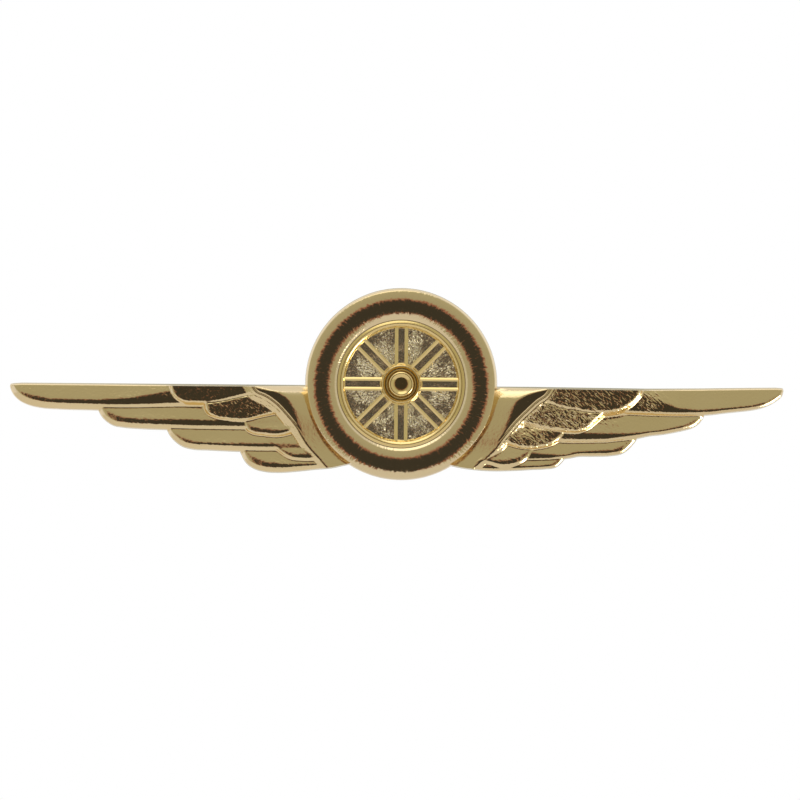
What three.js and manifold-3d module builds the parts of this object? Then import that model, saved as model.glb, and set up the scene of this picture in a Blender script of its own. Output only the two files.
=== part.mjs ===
// Pilot wings pin: a struck, gold-plated winged wheel.
// On its back are a bar pin and a turning safety catch.
// Millimetres. X runs along the span, Z is up and -Y is the way the badge faces.
// The flat back of the badge is the plane y = 0, and the origin is on it behind the wheel's centre.
import * as THREE from 'three';
import { mergeVertices } from 'three/addons/utils/BufferGeometryUtils.js';
import Module from 'manifold-3d';

const wasm = await Module();
wasm.setup();

// ---------------------------------------------------------------- shared solids and finishes

const MERGE = 1e-5;
// How far a cutting tool runs past the piece it cuts.
const clear = 1;

function solid(geometry) {
  const bare = geometry.clone();
  bare.deleteAttribute('normal');
  bare.deleteAttribute('uv');
  const merged = mergeVertices(bare, MERGE);
  return new wasm.Manifold(new wasm.Mesh({
    numProp: 3,
    vertProperties: new Float32Array(merged.attributes.position.array),
    triVerts: new Uint32Array(merged.index.array),
  }));
}

function unite(solids) {
  return solids.reduce((sum, piece) => sum.add(piece));
}

function box(low, high) {
  const size = high.map((value, axis) => value - low[axis]);
  const middle = high.map((value, axis) => (value + low[axis]) / 2);
  return solid(new THREE.BoxGeometry(...size).translate(...middle));
}

const goldPlate = new THREE.MeshStandardMaterial({ color: 0xc9a850, metalness: 1, roughness: 0.16 });
const goldSatin = new THREE.MeshStandardMaterial({ color: 0xbd9b48, metalness: 1, roughness: 0.34 });
const goldWire = new THREE.MeshStandardMaterial({ color: 0xd6bd74, metalness: 1, roughness: 0.22 });

const group = new THREE.Group();
group.name = 'pilot_wings_pin';

function addNode(name, body, finish) {
  const { numProp, vertProperties, triVerts } = body.getMesh();
  const geometry = new THREE.BufferGeometry();
  const positions = new Float32Array((vertProperties.length / numProp) * 3);
  for (let vertex = 0; vertex * numProp < vertProperties.length; vertex += 1) {
    positions.set(vertProperties.subarray(vertex * numProp, vertex * numProp + 3), vertex * 3);
  }
  geometry.setAttribute('position', new THREE.BufferAttribute(positions, 3));
  geometry.setIndex(new THREE.BufferAttribute(new Uint32Array(triVerts), 1));
  geometry.computeVertexNormals();
  const mesh = new THREE.Mesh(geometry, finish.clone());
  mesh.name = name;
  group.add(mesh);
}

// ---------------------------------------------------------------- wings plate
// One die-struck plate: overlapping feathers on both sides of a round seat for the wheel.

const plateDepth = 1.2;
const wheelRadius = 9.1;
const plateLip = 0.25;
const discSegments = 72;
const solderGap = 0.02;
const feather = { bevelSize: 0.22, bevelThickness: 0.38, curveSegments: 7, burial: 1.5 };

// Turns an outline drawn in X and Z into a blade whose front leans.
// depthAt(x, z) says how far the front stands out.
function blade(outline, depthAt) {
  const geometry = new THREE.ExtrudeGeometry(outline, {
    depth: feather.burial,
    curveSegments: feather.curveSegments,
    bevelSize: feather.bevelSize,
    bevelOffset: -feather.bevelSize,
    bevelThickness: feather.bevelThickness,
    bevelSegments: 1,
  });
  const position = geometry.attributes.position;
  const frontStart = feather.burial - MERGE;
  const frontEnd = feather.burial + feather.bevelThickness;
  for (let i = 0; i < position.count; i += 1) {
    const along = position.getZ(i);
    if (along > frontStart) {
      const lift = depthAt(position.getX(i), position.getY(i));
      position.setZ(i, along - frontEnd + lift);
    } else {
      position.setZ(i, along - feather.burial);
    }
  }
  return solid(geometry.rotateX(Math.PI / 2));
}

// A feather is a long blade: straight upper edge, rounded tip, lower edge back to the root.
// Its face leans outwards towards the lower edge, so each feather throws a crest over the next one.
function featherBlade({ rootTop, tipTop, tipCorner, tipLow, rootLow, rootDepth, tipDepth, lean }) {
  const outline = new THREE.Shape();
  outline.moveTo(...rootTop);
  outline.lineTo(...tipTop);
  outline.quadraticCurveTo(...tipCorner, ...tipLow);
  outline.lineTo(...rootLow);
  outline.closePath();
  const length = tipTop[0] - rootTop[0];
  const middle = (tipTop[1] + tipLow[1]) / 2;
  return blade(outline, (x, z) => {
    const along = (x - rootTop[0]) / length;
    return rootDepth + (tipDepth - rootDepth) * along + lean * (middle - z);
  });
}

const primaryLean = 0.22;
const covertLean = 0.28;
const primaryRise = { rootDepth: 1.55, tipDepth: 1.05, lean: primaryLean };
const covertRise = { rootDepth: 2.15, tipDepth: 1.85, lean: covertLean };

const leftFeathers = [
  { rootTop: [-7, -0.45], tipTop: [-38, -0.45], tipCorner: [-37.6, -2.62], tipLow: [-34, -2.62],
    rootLow: [-7, -3.3], ...primaryRise },
  { rootTop: [-7, -1.7], tipTop: [-29.3, -2.2], tipCorner: [-29.2, -4.35], tipLow: [-25.4, -4.5],
    rootLow: [-7, -4.9], ...primaryRise },
  { rootTop: [-7, -3.8], tipTop: [-22.8, -4.35], tipCorner: [-22.4, -6.5], tipLow: [-19, -6.52],
    rootLow: [-6, -6.9], ...primaryRise },
  { rootTop: [-7, -5.9], tipTop: [-15.8, -6.3], tipCorner: [-15.2, -8.55], tipLow: [-12.2, -8.65],
    rootLow: [-4.7, -7.9], ...primaryRise },
  { rootTop: [-12, -0.6], tipTop: [-22.3, -0.6], tipCorner: [-21.6, -2], tipLow: [-19.2, -1.95],
    rootLow: [-12, -1.2], ...covertRise },
  { rootTop: [-12, -0.9], tipTop: [-18.5, -2], tipCorner: [-18.9, -3.5], tipLow: [-15.8, -3.75],
    rootLow: [-10.5, -2.7], ...covertRise },
  { rootTop: [-10.6, -2.5], tipTop: [-15.1, -3.6], tipCorner: [-15.1, -5.1], tipLow: [-12.6, -5.1],
    rootLow: [-8.8, -4.4], ...covertRise },
  { rootTop: [-9, -4.2], tipTop: [-14.2, -4.85], tipCorner: [-13.4, -7.4], tipLow: [-10.2, -7.5],
    rootLow: [-6, -7.6], ...covertRise },
];

const rightFeathers = [
  { rootTop: [7, -0.5], tipTop: [37.1, -0.35], tipCorner: [36.6, -2], tipLow: [32.4, -2.4],
    rootLow: [7, -3.5], ...primaryRise },
  { rootTop: [7, -2.3], tipTop: [29.5, -2.6], tipCorner: [29, -4.3], tipLow: [25, -4.7],
    rootLow: [7, -5.2], ...primaryRise },
  { rootTop: [7, -4.4], tipTop: [23, -4.9], tipCorner: [22.2, -6.75], tipLow: [18.8, -6.8],
    rootLow: [7, -7.1], ...primaryRise },
  { rootTop: [7, -6.2], tipTop: [15.9, -7], tipCorner: [15.4, -8.1], tipLow: [12.6, -8.2],
    rootLow: [4.9, -8.1], ...primaryRise },
  { rootTop: [12, -0.6], tipTop: [23.4, -0.6], tipCorner: [22.6, -2.6], tipLow: [19.2, -2.6],
    rootLow: [12, -1.4], ...covertRise },
  { rootTop: [11.6, -1.6], tipTop: [19.7, -2.6], tipCorner: [18.2, -4.6], tipLow: [15.4, -4.4],
    rootLow: [10, -3.4], ...covertRise },
  { rootTop: [10.4, -3.2], tipTop: [16, -4.45], tipCorner: [15.2, -6.2], tipLow: [12.4, -6.1],
    rootLow: [8.4, -5.4], ...covertRise },
  { rootTop: [8.6, -5.2], tipTop: [13.2, -6], tipCorner: [12.4, -8], tipLow: [9.6, -8],
    rootLow: [5.4, -7.8], ...covertRise },
];

// The shoulder is a crescent that runs down beside the wheel and covers the feathers' roots.
function shoulder(side) {
  const outline = new THREE.Shape();
  outline.moveTo(side * 8, -0.55);
  outline.lineTo(side * 14.3, -0.55);
  outline.quadraticCurveTo(side * 11.6, -2, side * 9.6, -5.2);
  outline.quadraticCurveTo(side * 8.6, -6.8, side * 6.2, -7.6);
  outline.lineTo(side * 4.6, -7.2);
  outline.closePath();
  const innerDepth = 1.5;
  const slope = 0.14;
  return blade(outline, (x, z) => innerDepth + slope * (Math.hypot(x, z) - wheelRadius));
}

// A narrow seat in the back takes the pin bar, so that the bar can't turn on its solder.
const bar = { halfLength: 19, z: -3.4, halfWidth: 2.2, sunk: 0.15, thickness: 0.7, margin: 0.1 };
const barSegments = 10;

function stadium(halfLength, halfWidth) {
  const shape = new THREE.Shape();
  const straight = halfLength - halfWidth;
  shape.absarc(straight, 0, halfWidth, -Math.PI / 2, Math.PI / 2, false);
  shape.absarc(-straight, 0, halfWidth, Math.PI / 2, -Math.PI / 2, false);
  return shape;
}

// Extrudes an outline drawn in X and Z from one y to another.
function slab(outline, yFront, yBack, curveSegments) {
  const geometry = new THREE.ExtrudeGeometry(outline, {
    depth: yBack - yFront,
    curveSegments,
    bevelEnabled: false,
  });
  return solid(geometry.rotateX(Math.PI / 2).translate(0, yBack, 0));
}

function disc(radius, yFront, yBack, segments) {
  const geometry = new THREE.CylinderGeometry(radius, radius, yBack - yFront, segments);
  return solid(geometry.translate(0, (yFront + yBack) / 2, 0));
}

function wingsPlate() {
  const feathers = [...leftFeathers, ...rightFeathers].map(featherBlade);
  const middle = disc(wheelRadius + plateLip, -plateDepth, clear, discSegments);
  const relief = unite([...feathers, shoulder(-1), shoulder(1), middle]);
  const behind = box([-60, 0, -30], [60, 20, 30]);
  const wheelSeat = disc(wheelRadius + solderGap, -10, -plateDepth, discSegments);
  const barOutline = stadium(bar.halfLength + bar.margin, bar.halfWidth + bar.margin);
  const barSeat = slab(barOutline, -bar.sunk, clear, barSegments).translate([0, 0, bar.z]);
  return relief.subtract(behind).subtract(wheelSeat).subtract(barSeat);
}

addNode('wings_plate', wingsPlate(), goldPlate);

// ---------------------------------------------------------------- wheel medallion
// The wheel is struck on its own and soldered into the plate: round tyre, thin rim, paired spokes and hub.

const tyre = { crestRadius: 7.65, crestDepth: 3.2, innerRadius: 6.2, footDepth: 1.95, steps: 6 };
const rim = { outerRadius: 6.1, innerRadius: 5.7, depth: 2.3 };
const recessDepth = 1.7;
const hub = { ringOuter: 1.95, ringInner: 1.6, ringDepth: 2.3, grooveRadius: 1.3, bossRadius: 1.2,
  bossDepth: 2.7, dimpleRadius: 0.7, dimpleDepth: 2.3 };
// Radial run of the steep sides of the rim and the hub's ring.
const draft = 0.12;
const spoke = { pairs: 8, radius: 0.2, spacing: 0.95, depth: 1.95, inner: 1.75, outer: 5.85 };

// The tyre's section rises from foot to crest and falls again as a quarter of an ellipse on each side.
function tyreSection() {
  const rise = tyre.crestDepth - tyre.footDepth;
  const points = [];
  for (let i = 0; i <= 2 * tyre.steps; i += 1) {
    const angle = (Math.PI / 2) * (i / tyre.steps);
    const side = i < tyre.steps ? wheelRadius : tyre.innerRadius;
    const radius = tyre.crestRadius + Math.abs(side - tyre.crestRadius) * Math.cos(angle);
    points.push([radius, tyre.footDepth + rise * Math.sin(angle)]);
  }
  return points;
}

function turnedWheel() {
  const section = [
    [0, plateDepth],
    [wheelRadius, plateDepth],
    ...tyreSection(),
    [rim.outerRadius, rim.depth],
    [rim.innerRadius, rim.depth],
    [rim.innerRadius - draft, recessDepth],
    [hub.ringOuter + draft, recessDepth],
    [hub.ringOuter, hub.ringDepth],
    [hub.ringInner, hub.ringDepth],
    [hub.grooveRadius + draft, recessDepth],
    [hub.grooveRadius, recessDepth],
    [hub.bossRadius, hub.bossDepth],
    [hub.dimpleRadius, hub.bossDepth],
    [hub.dimpleRadius / 2, hub.dimpleDepth],
    [0, hub.dimpleDepth],
  ];
  const profile = section.map(([radius, depth]) => new THREE.Vector2(radius, depth));
  return solid(new THREE.LatheGeometry(profile, 64).rotateX(Math.PI));
}

function wheelSpokes() {
  const length = spoke.outer - spoke.inner;
  const spokes = [];
  for (let pair = 0; pair < spoke.pairs; pair += 1) {
    for (const side of [-1, 1]) {
      const rod = new THREE.CylinderGeometry(spoke.radius, spoke.radius, length, 8);
      rod.rotateZ(Math.PI / 2);
      rod.translate(spoke.inner + length / 2, -spoke.depth, (side * spoke.spacing) / 2);
      spokes.push(solid(rod).rotate([0, (pair * 360) / spoke.pairs, 0]));
    }
  }
  return spokes;
}

addNode('wheel_medallion', unite([turnedWheel(), ...wheelSpokes()]), goldPlate);

// ---------------------------------------------------------------- pin bar
// A flat strip soldered in the seat, with two holes that let the solder through.

const barFace = bar.thickness - bar.sunk;
const solderHole = { radius: 0.7, x: 9.5 };

function pinBar() {
  const outline = stadium(bar.halfLength, bar.halfWidth);
  for (const side of [-1, 1]) {
    const hole = new THREE.Path();
    hole.absarc(side * solderHole.x, 0, solderHole.radius, 0, 2 * Math.PI, true);
    outline.holes.push(hole);
  }
  return slab(outline, -bar.sunk, barFace, barSegments).translate([0, 0, bar.z]);
}

addNode('pin_bar', pinBar(), goldSatin);

// ---------------------------------------------------------------- hinge bracket and rivet
// A folded U: a foot on the bar and two round-topped ears, with a headed rivet across them.

const axisY = 3.4;
const hinge = { x: -16.6, footHalf: 1.9, footThickness: 0.4, earInner: 0.75, earOuter: 1.2,
  earBase: 1.6, earRadius: 1.15, boreRadius: 0.52 };
const rivet = { radius: 0.5, headRadius: 0.95, flatRadius: 0.57, headThickness: 0.35, headGap: 0.02 };

// Extrudes an outline drawn in X and Y between two heights.
function plank(outline, zLow, zHigh, curveSegments) {
  const geometry = new THREE.ExtrudeGeometry(outline, {
    depth: zHigh - zLow,
    curveSegments,
    bevelEnabled: false,
  });
  return solid(geometry.translate(0, 0, zLow));
}

function earOutline() {
  const outline = new THREE.Shape();
  outline.moveTo(-hinge.earBase, barFace);
  outline.lineTo(hinge.earBase, barFace);
  outline.lineTo(hinge.earRadius, axisY);
  outline.absarc(0, axisY, hinge.earRadius, 0, Math.PI, false);
  outline.closePath();
  const bore = new THREE.Path();
  bore.absarc(0, axisY, hinge.boreRadius, 0, 2 * Math.PI, true);
  outline.holes.push(bore);
  return outline;
}

function hingeBracket() {
  const lowCorner = [-hinge.footHalf, barFace, -hinge.earOuter];
  const highCorner = [hinge.footHalf, barFace + hinge.footThickness, hinge.earOuter];
  const foot = box(lowCorner, highCorner);
  const lowEar = plank(earOutline(), -hinge.earOuter, -hinge.earInner, 8);
  const highEar = plank(earOutline(), hinge.earInner, hinge.earOuter, 8);
  return unite([foot, lowEar, highEar]).translate([hinge.x, 0, bar.z]);
}

addNode('hinge_bracket', hingeBracket(), goldSatin);

function hingeRivet() {
  const headStart = hinge.earOuter + rivet.headGap;
  const headEnd = headStart + rivet.headThickness;
  const crown = headEnd - rivet.headThickness / 2;
  const section = [
    [0, -headEnd],
    [rivet.flatRadius, -headEnd],
    [rivet.headRadius, -crown],
    [rivet.headRadius, -headStart],
    [rivet.radius, -headStart],
    [rivet.radius, headStart],
    [rivet.headRadius, headStart],
    [rivet.headRadius, crown],
    [rivet.flatRadius, headEnd],
    [0, headEnd],
  ];
  const profile = section.map(([radius, height]) => new THREE.Vector2(radius, height));
  const geometry = new THREE.LatheGeometry(profile, 32).rotateX(Math.PI / 2);
  return solid(geometry).translate([hinge.x, axisY, bar.z]);
}

addNode('hinge_rivet', hingeRivet(), goldPlate);

// ---------------------------------------------------------------- pin stem
// Hard-drawn wire, flattened into an eye at the hinge and ground to a point at the catch.

const stem = { radius: 0.42, eyeRadius: 1.1, eyeBore: 0.56, eyeHalf: 0.68, taperStart: 14.2,
  taperMiddle: 17.3, middleRadius: 0.26, tip: 18.9, tipRadius: 0.04 };

function round(radius) {
  const outline = new THREE.Shape();
  outline.absarc(0, 0, radius, 0, 2 * Math.PI, false);
  return outline;
}

function pinStem() {
  const eye = plank(round(stem.eyeRadius), -stem.eyeHalf, stem.eyeHalf, 14);
  const section = [
    [0, 0],
    [stem.radius, 0],
    [stem.radius, stem.taperStart - hinge.x],
    [stem.middleRadius, stem.taperMiddle - hinge.x],
    [stem.tipRadius, stem.tip - hinge.x],
    [0, stem.tip - hinge.x],
  ];
  const profile = section.map(([radius, along]) => new THREE.Vector2(radius, along));
  const wire = solid(new THREE.LatheGeometry(profile, 24).rotateZ(-Math.PI / 2));
  const bore = plank(round(stem.eyeBore), -stem.eyeHalf - clear, stem.eyeHalf + clear, 10);
  return unite([eye, wire]).subtract(bore).translate([hinge.x, axisY, bar.z]);
}

addNode('pin_stem', pinStem(), goldWire);

// ---------------------------------------------------------------- safety catch
// A C-shaped housing on a foot holds a slotted rotor.
// With the slot outwards the wire goes in, and a turn past a quarter shuts it.

const housing = { xLow: 13.4, xHigh: 16.2, outer: 2.1, inner: 1.6, mouthHalf: 0.66, footHalf: 1.5 };
const mouthReach = 4;
const roundSegments = 16;
const rotor = { radius: 1.54, bore: 0.56, slotHalf: 0.56, flangeRadius: 1.9, flange: 0.4, endGap: 0.04,
  tabAngle: 52, tabHalf: 0.45, tabReach: 2.75 };

// Extrudes an outline drawn about the catch's axis along X.
function alongX(outline, xLow, xHigh, curveSegments) {
  const geometry = new THREE.ExtrudeGeometry(outline, {
    depth: xHigh - xLow,
    curveSegments,
    bevelEnabled: false,
  });
  return solid(geometry.rotateY(Math.PI / 2).translate(xLow, axisY, bar.z));
}

// A straight slot from the catch's axis outwards, between two places along X.
function slotCutter(xLow, xHigh, half) {
  const low = [xLow - clear, axisY, bar.z - half];
  const high = [xHigh + clear, axisY + mouthReach, bar.z + half];
  return box(low, high);
}

function catchHousing() {
  const { xLow, xHigh, outer, inner, mouthHalf, footHalf } = housing;
  const shell = alongX(round(outer), xLow, xHigh, roundSegments);
  const footBack = axisY - outer / 2;
  const foot = box([xLow, barFace, bar.z - footHalf], [xHigh, footBack, bar.z + footHalf]);
  const cavity = alongX(round(inner), xLow - clear, xHigh + clear, roundSegments);
  return unite([shell, foot]).subtract(cavity).subtract(slotCutter(xLow, xHigh, mouthHalf));
}

addNode('catch_housing', catchHousing(), goldSatin);

function catchRotor() {
  const { radius, bore, slotHalf, flangeRadius, flange, endGap } = rotor;
  const low = housing.xLow - endGap;
  const high = housing.xHigh + endGap;
  const barrel = alongX(round(radius), low - flange / 2, high + flange / 2, roundSegments);
  const flanges = [
    alongX(round(flangeRadius), low - flange, low, roundSegments),
    alongX(round(flangeRadius), high, high + flange, roundSegments),
  ];
  const tab = box([high, 0, -rotor.tabHalf], [high + flange, rotor.tabReach, rotor.tabHalf]);
  const placedTab = tab.rotate([-rotor.tabAngle, 0, 0]).translate([0, axisY, bar.z]);
  const hole = alongX(round(bore), low - clear, high + clear, roundSegments);
  return unite([barrel, ...flanges, placedTab]).subtract(hole).subtract(slotCutter(low, high, slotHalf));
}

addNode('catch_rotor', catchRotor(), goldPlate);

export default group;
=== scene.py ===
import math

import bpy
import numpy as np
from mathutils import Matrix, Vector, noise


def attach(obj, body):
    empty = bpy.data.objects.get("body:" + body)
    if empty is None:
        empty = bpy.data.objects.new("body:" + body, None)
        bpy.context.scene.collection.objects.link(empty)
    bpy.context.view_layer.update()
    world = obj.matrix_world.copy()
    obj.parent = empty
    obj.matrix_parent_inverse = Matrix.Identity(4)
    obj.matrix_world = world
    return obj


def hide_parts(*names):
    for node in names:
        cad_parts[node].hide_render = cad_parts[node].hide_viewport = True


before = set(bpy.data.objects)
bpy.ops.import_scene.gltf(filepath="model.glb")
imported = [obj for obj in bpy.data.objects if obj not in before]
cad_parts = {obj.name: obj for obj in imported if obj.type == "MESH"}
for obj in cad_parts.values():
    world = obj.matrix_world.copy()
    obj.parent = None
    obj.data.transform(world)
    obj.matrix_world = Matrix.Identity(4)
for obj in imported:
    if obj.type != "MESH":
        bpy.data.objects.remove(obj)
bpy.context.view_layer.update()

bpy.ops.object.select_all(action="DESELECT")

MM = 0.001


# ---------------------------------------------------------------- the struck wings
# The badge is one piece of brass struck between dies, polished and gold plated, with the wheel and the pin's
# fittings soldered on. Each feather is a leaning face that rises to a flat crest and drops over a rolled
# bevel to the feather below.


def tone(code, alpha=1.0):
    """An sRGB hex colour as linear red, green, blue and alpha."""
    parts = [int(code[i:i + 2], 16) / 255 for i in (1, 3, 5)]
    return [p / 12.92 if p <= 0.04045 else ((p + 0.055) / 1.055) ** 2.4 for p in parts] + [alpha]


def add_node(tree, kind, inputs=None, **settings):
    """Adds one node: settings are its properties, inputs are values or (node, output) links."""
    node = tree.nodes.new(kind)
    for name, value in settings.items():
        setattr(node, name, value)
    for name, value in (inputs or {}).items():
        if isinstance(value, tuple) and isinstance(value[0], bpy.types.Node):
            tree.links.new(value[0].outputs[value[1]], node.inputs[name])
        else:
            node.inputs[name].default_value = value
    return node


def new_material(name):
    material = bpy.data.materials.new(name)
    material.use_nodes = True
    material.node_tree.nodes.clear()
    return material


def soft_min(a, b, radius):
    """The lower of two surfaces, rounded where they cross."""
    return -radius * np.logaddexp(-a / radius, -b / radius)


def soft_max(a, b, radius):
    """The higher of two surfaces, with a fillet where they cross."""
    return radius * np.logaddexp(a / radius, b / radius)


def curve_through(points, steps=6):
    """Samples a smooth line through a few points, however unevenly they are spaced."""
    p = np.array(points, float)
    lengths = np.hypot(*np.diff(p, axis=0).T)
    slopes = np.gradient(p, np.concatenate([[0], np.cumsum(lengths)]), axis=0)
    t = np.linspace(0, 1, steps, endpoint=False)[:, None]
    ease = t * t * (3 - 2 * t)
    out = []
    for a, b, leave, arrive, length in zip(p, p[1:], slopes, slopes[1:], lengths):
        turn = leave * t * (1 - t) ** 2 - arrive * t * t * (1 - t)
        out.append(a + (b - a) * ease + length * turn)
    return np.vstack(out + [p[-1:]])


def distance_to(line, x, z):
    """How far each point lies from a sampled line."""
    best = np.full(x.shape, 1e9)
    for (ax, az), (bx, bz) in zip(line, line[1:]):
        dx, dz = bx - ax, bz - az
        t = np.clip(((x - ax) * dx + (z - az) * dz) / max(dx * dx + dz * dz, 1e-12), 0, 1)
        best = np.minimum(best, np.hypot(x - ax - t * dx, z - az - t * dz))
    return best


def at(x, line):
    """Height of a line that runs steadily along X, at x."""
    order = np.argsort(line[:, 0])
    return np.interp(x, line[order, 0], line[order, 1])


def ramp(x, start, end, first, last):
    """A value that runs from first at start to last at end."""
    return first + (last - first) * np.clip((x - start) / (end - start), 0, 1)


# Every length is in millimetres: X along the span from the wheel's centre, Z up from it.
OUTSIDE = -5.0
BEVEL_FALL = 0.85
BEVEL_REACH = 0.6
CREST_ROUNDING = 0.02
BEVEL_ROUNDING = 0.03


def feather(x, z, low, land, crest, lean, width):
    """Depth of one feather: low is its lower edge from root to tip; land is the line where the leaning face
    meets the flat crest; crest is how far that stands out at root and tip, lean the slope of the face there,
    and width how wide the bevel below the crest is there."""
    low = curve_through(low)
    root, tip = low[0, 0], low[-1, 0]
    land = np.array(land, float)
    lowest = land[np.argmin(land[:, 1])]
    land_z = at(x, land)
    slope = ramp(x, root, tip, *lean)
    # towards the tip the land climbs the leaning face, so the crest gets lower there
    fall = np.where(np.abs(x) > abs(lowest[0]), slope * (land_z - lowest[1]), 0)
    crown = ramp(x, root, tip, *crest) - fall
    face = crown - slope * (z - land_z)
    within = (z > at(x, low)) & (np.abs(x) < abs(tip))
    reach = distance_to(low, x, z) * np.where(within, 1, -1)
    # the bevel rolls over: gentle below the crest, steeper towards the feather's edge
    bevel_width = ramp(x, root, tip, *width)
    down = bevel_width - reach
    drop = crown - BEVEL_FALL * (0.6 * down + 0.4 * down.clip(0, 2 * bevel_width) ** 2 / bevel_width)
    depth = soft_min(soft_min(face, crown, CREST_ROUNDING), drop, BEVEL_ROUNDING)
    return np.where(reach > -BEVEL_REACH, depth, OUTSIDE)


# The long feathers of each wing from the top one down. The two wings were cut by hand and aren't alike.
LEFT_PRIMARIES = [
    dict(low=[(-4, -2.3), (-20, -2.4), (-28.4, -2.72), (-30.3, -2.68), (-33.3, -2.62), (-35.1, -2.5),
              (-36.4, -2.2), (-37.2, -1.8), (-37.9, -1.0), (-38.05, -0.6)],
         land=[(-38, -0.7), (-37, -1.1), (-36, -1.35), (-34, -1.7), (-29.8, -1.75), (-26.5, -1.55),
               (-24.5, -1.2), (-23, -0.9), (-20, -0.6)],
         crest=(1.82, 1.2), lean=(0.28, 0.29), width=(0.34, 0.56)),
    dict(low=[(-4, -4.5), (-22.9, -4.55), (-25.5, -4.47), (-27, -4.36), (-28, -4.18), (-28.6, -3.84),
              (-29.1, -3.35), (-29.4, -2.8), (-29.5, -1.9)],
         land=[(-29.5, -2.2), (-28.6, -2.9), (-27.6, -3.3), (-26.5, -3.5), (-24, -3.6), (-15, -3.6)],
         crest=(1.8, 1.5), lean=(0.27, 0.28), width=(0.36, 0.42)),
    dict(low=[(-4, -6.5), (-16.4, -6.6), (-18.8, -6.5), (-20.2, -6.44), (-21.2, -6.2), (-21.9, -5.74),
              (-22.5, -5.05), (-22.8, -4.3), (-22.85, -3.6)],
         land=[(-22.8, -4.6), (-21.9, -5.1), (-21, -5.5), (-20, -5.75), (-18, -5.9), (-12, -5.9)],
         crest=(1.9, 1.75), lean=(0.27, 0.27), width=(0.4, 0.45)),
    dict(low=[(-4, -7.55), (-5.5, -7.88), (-6.6, -8.13), (-8.3, -8.3), (-10.05, -8.5), (-11.8, -8.63),
              (-13.2, -8.56), (-14.2, -8.3), (-14.9, -7.84), (-15.35, -7.15), (-15.6, -6.5), (-15.65, -5.8)],
         land=[(-15.6, -6.3), (-15.1, -6.75), (-14.4, -7.2), (-13.5, -7.55), (-12.5, -7.75), (-11, -7.85),
               (-6, -7.9)],
         crest=(2.0, 1.9), lean=(0.27, 0.27), width=(0.35, 0.4)),
]

# The short feathers that overlap the long ones' roots.
LEFT_COVERTS = [
    dict(low=[(-12, -0.9), (-14.3, -1.05), (-16.1, -1.46), (-17.5, -1.8), (-18.6, -1.98), (-19.9, -2.0),
              (-21.2, -1.9), (-21.9, -1.5), (-22.4, -0.7), (-22.45, 0.2)],
         land=[(-23, 0), (-12, 0)], crest=(2.15, 1.74), lean=(0.03, 0.03), width=(0.2, 0.2)),
    dict(low=[(-9, -1.6), (-11.7, -2.78), (-13.5, -3.25), (-15.1, -3.68), (-16.8, -3.6), (-18, -3.4),
              (-18.8, -2.95), (-19.05, -2.2), (-19.1, -1.4)],
         land=[(-19.1, -2.1), (-17.5, -1.9), (-16, -1.5), (-14, -1.05), (-9, -0.6)], crest=(1.98, 1.86),
         lean=(0.35, 0.35), width=(0.2, 0.2)),
    dict(low=[(-7, -3.4), (-10.2, -4.65), (-12, -5.15), (-13.4, -5.05), (-14.3, -4.95), (-14.95, -4.6),
              (-15.15, -3.9), (-15.2, -3)],
         land=[(-15, -4.1), (-13.5, -4.45), (-12, -4.6), (-9, -4.3)], crest=(2.1, 1.94), lean=(0.27, 0.27),
         width=(0.22, 0.22)),
    dict(low=[(-5, -7.6), (-6.6, -7.72), (-8, -7.52), (-9.5, -7.52), (-10.8, -7.34), (-11.8, -6.7),
              (-12.9, -5.7), (-13.6, -4.6), (-13.7, -3.8)],
         land=[(-13.5, -5), (-12.5, -5.8), (-11.5, -6.5), (-10.5, -6.9), (-7, -6.9)], crest=(2.1, 2.05),
         lean=(0.27, 0.27), width=(0.25, 0.25)),
]

RIGHT_PRIMARIES = [
    dict(low=[(4, -2.5), (20, -2.6), (28.6, -2.75), (30.3, -2.65), (31.4, -2.5), (32.9, -2.33), (34, -2.2),
              (35, -2.0), (35.8, -1.7), (36.5, -1.3), (37.1, -0.75), (37.2, -0.4)],
         land=[(37.2, -0.5), (36.5, -0.95), (35.5, -1.5), (34, -1.85), (31, -2.15), (29, -2.3), (27, -2.1),
               (25.5, -1.5), (23.5, -0.8), (20, -0.6)],
         crest=(1.72, 1.4), lean=(0.27, 0.29), width=(0.3, 0.2)),
    dict(low=[(4, -4.8), (23.2, -5.0), (24.1, -4.8), (25.65, -4.6), (26.7, -4.4), (27.6, -4.2), (28.4, -3.95),
              (28.95, -3.6), (29.35, -3.1), (29.6, -2.3)],
         land=[(29.5, -2.4), (28.8, -3.2), (27.5, -3.85), (25, -4.4), (22, -4.65), (17, -4.62)],
         crest=(1.85, 1.6), lean=(0.27, 0.27), width=(0.3, 0.25)),
    dict(low=[(4, -6.9), (16.5, -7.0), (17.2, -6.85), (18.8, -6.8), (20.5, -6.73), (21.6, -6.5),
              (22.05, -6.2), (22.5, -5.74), (22.9, -5.2), (23.05, -4.4)],
         land=[(23, -4.7), (22.3, -5.3), (21.6, -5.9), (20.5, -6.25), (18.5, -6.4), (17, -6.5), (16, -6.85),
               (13, -6.6)],
         crest=(1.9, 1.75), lean=(0.27, 0.27), width=(0.2, 0.22)),
    dict(low=[(4, -7.6), (6, -8.05), (7.2, -8.2), (8.9, -8.3), (11.2, -8.24), (13, -8.13), (14.1, -8.07),
              (15.1, -7.9), (15.6, -7.5), (15.95, -7.0), (16.05, -6.3)],
         land=[(16, -6.6), (15.4, -7.3), (14.5, -7.75), (13, -7.9), (9, -8.0), (6, -7.8)],
         crest=(1.98, 1.92), lean=(0.27, 0.27), width=(0.16, 0.16)),
]

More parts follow.
